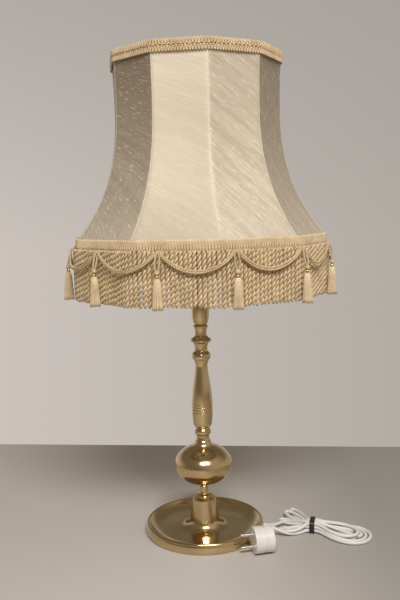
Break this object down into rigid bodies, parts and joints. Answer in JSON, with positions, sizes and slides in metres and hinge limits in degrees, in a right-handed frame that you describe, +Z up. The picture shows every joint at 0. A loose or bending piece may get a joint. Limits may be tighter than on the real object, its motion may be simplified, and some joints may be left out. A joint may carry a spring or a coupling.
{
  "type": "candlestick table lamp",
  "caption": "Polished brass candlestick table lamp: dished base, ball and turned column, with a flared panelled fabric shade trimmed in gimp, bullion fringe, swags and tassels.",
  "frame": {"origin": "middle of the base at table level, on the column's axis", "axes": "+Z up the column, -Y towards the viewer of the picture, +X to the side where the cord lies"},
  "size_m": [0.4483, 0.4038, 0.7295],
  "materials": {
    "brass": "polished, lightly lacquered",
    "felt": "pressed felt",
    "iron": "as cast",
    "steel": "zinc plated",
    "wire_sheath": "smooth",
    "white_rubber": "soft, smooth",
    "holder_black": "moulded",
    "insert_ceramic": "unglazed",
    "cord_white": "smooth flex sheath",
    "tie_black": "smooth",
    "plug_white": "moulded",
    "pin_nickel": "nickel plated",
    "bar_black": "moulded",
    "lining_cloth": "plain weave",
    "frame_paint": "white lacquer",
    "cover_silk": "slubbed silk",
    "gold_trim": "twisted viscose",
    "bulb_metal": "satin",
    "bulb_opal": "opal"
  },
  "bodies": {
    "lamp": {"felt_pad": "felt", "base_dish": "brass", "base_weight": "iron", "base_nut": "steel", "base_washer": "steel", "cord_bush": "white_rubber", "threaded_rod": "steel", "top_nut": "steel", "inner_wires": "wire_sheath", "neck": "brass", "ball": "brass", "lower_knop": "brass", "baluster": "brass", "bead_knop": "brass", "disc_knop": "brass", "small_knop": "brass", "candle_cup": "brass", "sleeve_tube": "brass", "holder_cap": "holder_black", "holder_shell": "holder_black", "holder_insert": "insert_ceramic", "screw_shell": "brass", "centre_contact": "brass", "lower_shade_ring": "holder_black", "cord_lead": "cord_white", "cord_hank": "cord_white", "cord_tail": "cord_white", "cord_tie": "tie_black", "plug_body": "plug_white", "plug_pins": "pin_nickel"},
    "switch": {"switch_bar": "bar_black"},
    "clamp_ring": {"upper_shade_ring": "holder_black"},
    "shade": {"panel_01": "cover_silk", "panel_02": "cover_silk", "panel_03": "cover_silk", "panel_04": "cover_silk", "panel_05": "cover_silk", "panel_06": "cover_silk", "panel_07": "cover_silk", "panel_08": "cover_silk", "panel_09": "cover_silk", "panel_10": "cover_silk", "lining": "lining_cloth", "frame_top_ring": "frame_paint", "frame_hem_ring": "frame_paint", "frame_ribs": "frame_paint", "carrier": "frame_paint", "top_gimp": "gold_trim", "header_gimp": "gold_trim", "bullion_fringe": "gold_trim", "swags": "gold_trim", "tassels": "gold_trim"},
    "bulb_contact": {"bulb_tip": "bulb_metal"},
    "bulb": {"bulb_cap": "bulb_metal", "bulb_glass": "bulb_opal"}
  },
  "joints": [
    {"name": "switch_push", "type": "slide", "parent": "lamp", "child": "switch", "axis": [1, 0, 0], "range_m": [-0.006, 0]},
    {"name": "ring_turn", "type": "hinge", "parent": "lamp", "child": "clamp_ring", "pos_m": [0, 0, 0.4858], "axis": [0, 0, 1], "range_deg": [0, 40]},
    {"name": "shade_turn", "type": "hinge", "parent": "lamp", "child": "shade", "pos_m": [0, 0, 0.482], "axis": [0, 0, 1], "continuous": true},
    {"name": "bulb_lift", "type": "slide", "parent": "lamp", "child": "bulb_contact", "axis": [0, 0, 1], "range_m": [0, 0.0146]},
    {"name": "bulb_turn", "type": "hinge", "parent": "bulb_contact", "child": "bulb", "pos_m": [0, 0, 0.467], "axis": [0, 0, 1], "range_deg": [0, 1440]}
  ],
  "couplings": [
    {"joint": "bulb_lift", "follows": "bulb_turn", "m_per_rad": 0.00057773}
  ]
}
